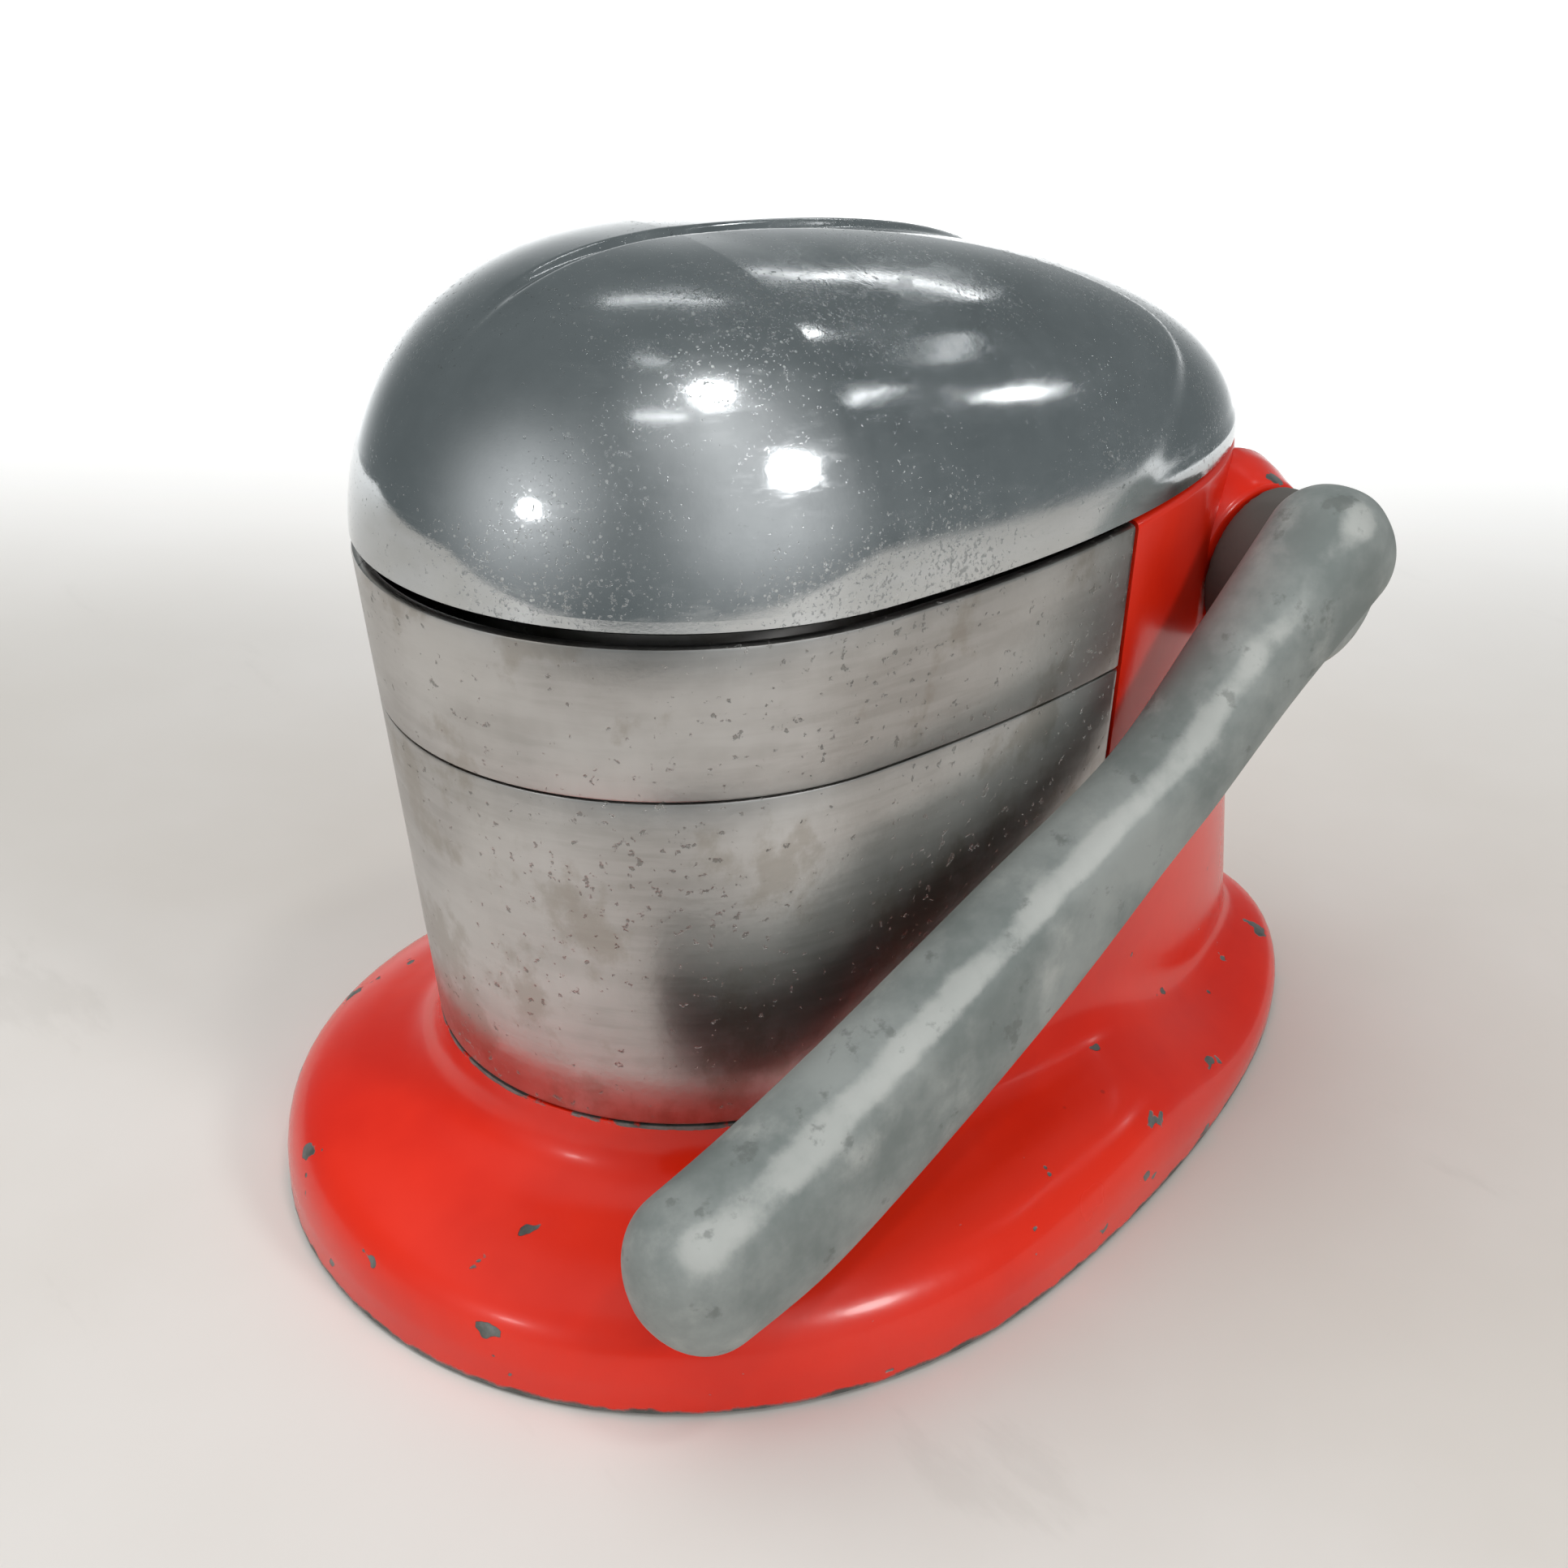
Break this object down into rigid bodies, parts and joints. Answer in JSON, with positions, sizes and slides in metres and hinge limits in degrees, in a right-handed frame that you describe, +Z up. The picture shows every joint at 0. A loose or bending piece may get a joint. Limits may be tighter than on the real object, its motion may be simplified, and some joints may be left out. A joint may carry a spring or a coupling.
{
  "type": "citrus juicer",
  "caption": "Lever-press citrus juicer: a side handle lifts and tips back a domed lid over a strainer ring and juice cup on a flared foot.",
  "frame": {"origin": "on the table, under the middle of the overall box", "axes": "+Z up, -Y towards the rounded nose, +Y towards the column, +X on the handle's side"},
  "size_m": [0.1594, 0.2378, 0.1823],
  "materials": {
    "enamel": "gloss red enamel, chipped",
    "chrome": "polished, lightly hazed",
    "cup_metal": "satin, stained",
    "handle_metal": "dull, oxidised",
    "steel": "plain",
    "bronze": "plain",
    "rubber": "matte"
  },
  "bodies": {
    "base": {"base_casting": "enamel", "rubber_foot_1": "rubber", "rubber_foot_2": "rubber", "rubber_foot_3": "rubber", "rubber_foot_4": "rubber", "juice_cup": "cup_metal", "strainer_ring": "cup_metal", "strainer_cone": "cup_metal", "right_shaft_bush": "bronze", "left_shaft_bush": "bronze", "post_guide": "bronze", "guide_screw_1": "steel", "guide_screw_2": "steel", "tilt_cam": "steel", "cam_screw_1": "steel", "cam_screw_2": "steel"},
    "handle": {"handle": "handle_metal", "handle_shaft": "steel", "drive_pinion": "steel", "pinion_pin": "steel", "handle_set_screw": "steel", "thrust_washer": "bronze", "shaft_end_cap": "handle_metal", "end_cap_screw": "steel"},
    "post": {"lift_post": "steel", "lid_hinge_pin": "steel"},
    "lid": {"lid_shell": "chrome", "lid_bracket": "steel", "lid_screw_1": "steel", "lid_screw_2": "steel", "lid_screw_3": "steel", "press_cup": "cup_metal", "press_cup_screw": "steel", "press_cup_nut": "steel", "tilt_roller_left": "steel", "tilt_roller_right": "steel"}
  },
  "joints": [
    {"name": "handle_turn", "type": "hinge", "parent": "base", "child": "handle", "pos_m": [0, 0.06935, 0.111], "axis": [-1, 0, 0], "range_deg": [0, 125]},
    {"name": "post_lift", "type": "slide", "parent": "base", "child": "post", "axis": [0, 0, 1], "range_m": [0, 0.0262]},
    {"name": "lid_tilt", "type": "hinge", "parent": "post", "child": "lid", "pos_m": [0, 0.05955, 0.143], "axis": [-1, 0, 0], "range_deg": [0, 40.01]}
  ],
  "couplings": [
    {"joint": "post_lift", "follows": "handle_turn", "m_per_rad": 0.012},
    {"joint": "lid_tilt", "follows": "handle_turn", "ratio": 0.32}
  ]
}
